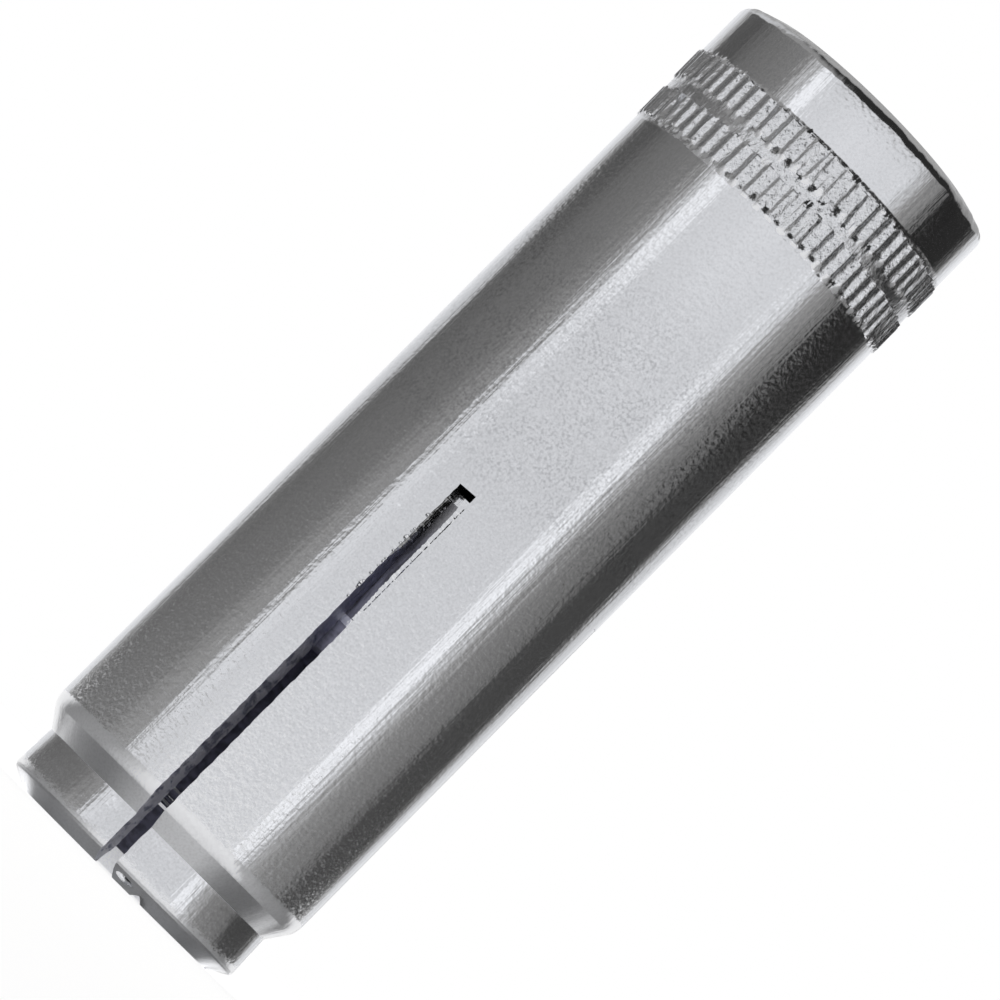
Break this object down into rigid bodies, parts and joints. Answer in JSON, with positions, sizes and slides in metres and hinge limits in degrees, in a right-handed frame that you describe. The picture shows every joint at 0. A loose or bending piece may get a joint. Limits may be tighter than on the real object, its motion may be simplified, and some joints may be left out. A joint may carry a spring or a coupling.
{
  "type": "drop-in anchor",
  "caption": "Cylindrical drop-in expansion anchor: slotted steel sleeve with a threaded mouth, knurled bands and a smaller end collar, and a conical expander plug held in its tapered bore.",
  "frame": {"origin": "centre of the expansion end's face, on the sleeve's axis", "axes": "+Z along the sleeve's axis towards the threaded mouth, +X and +Y through the middles of two neighbouring segments, between the slots"},
  "size_m": [0.0252, 0.0252, 0.08],
  "materials": {
    "zinc_plated_steel": "satin zinc plate",
    "plug_steel": "turned, dull zinc plate"
  },
  "bodies": {
    "root": {"sleeve": "zinc_plated_steel", "expander_plug": "plug_steel"}
  },
  "joints": []
}
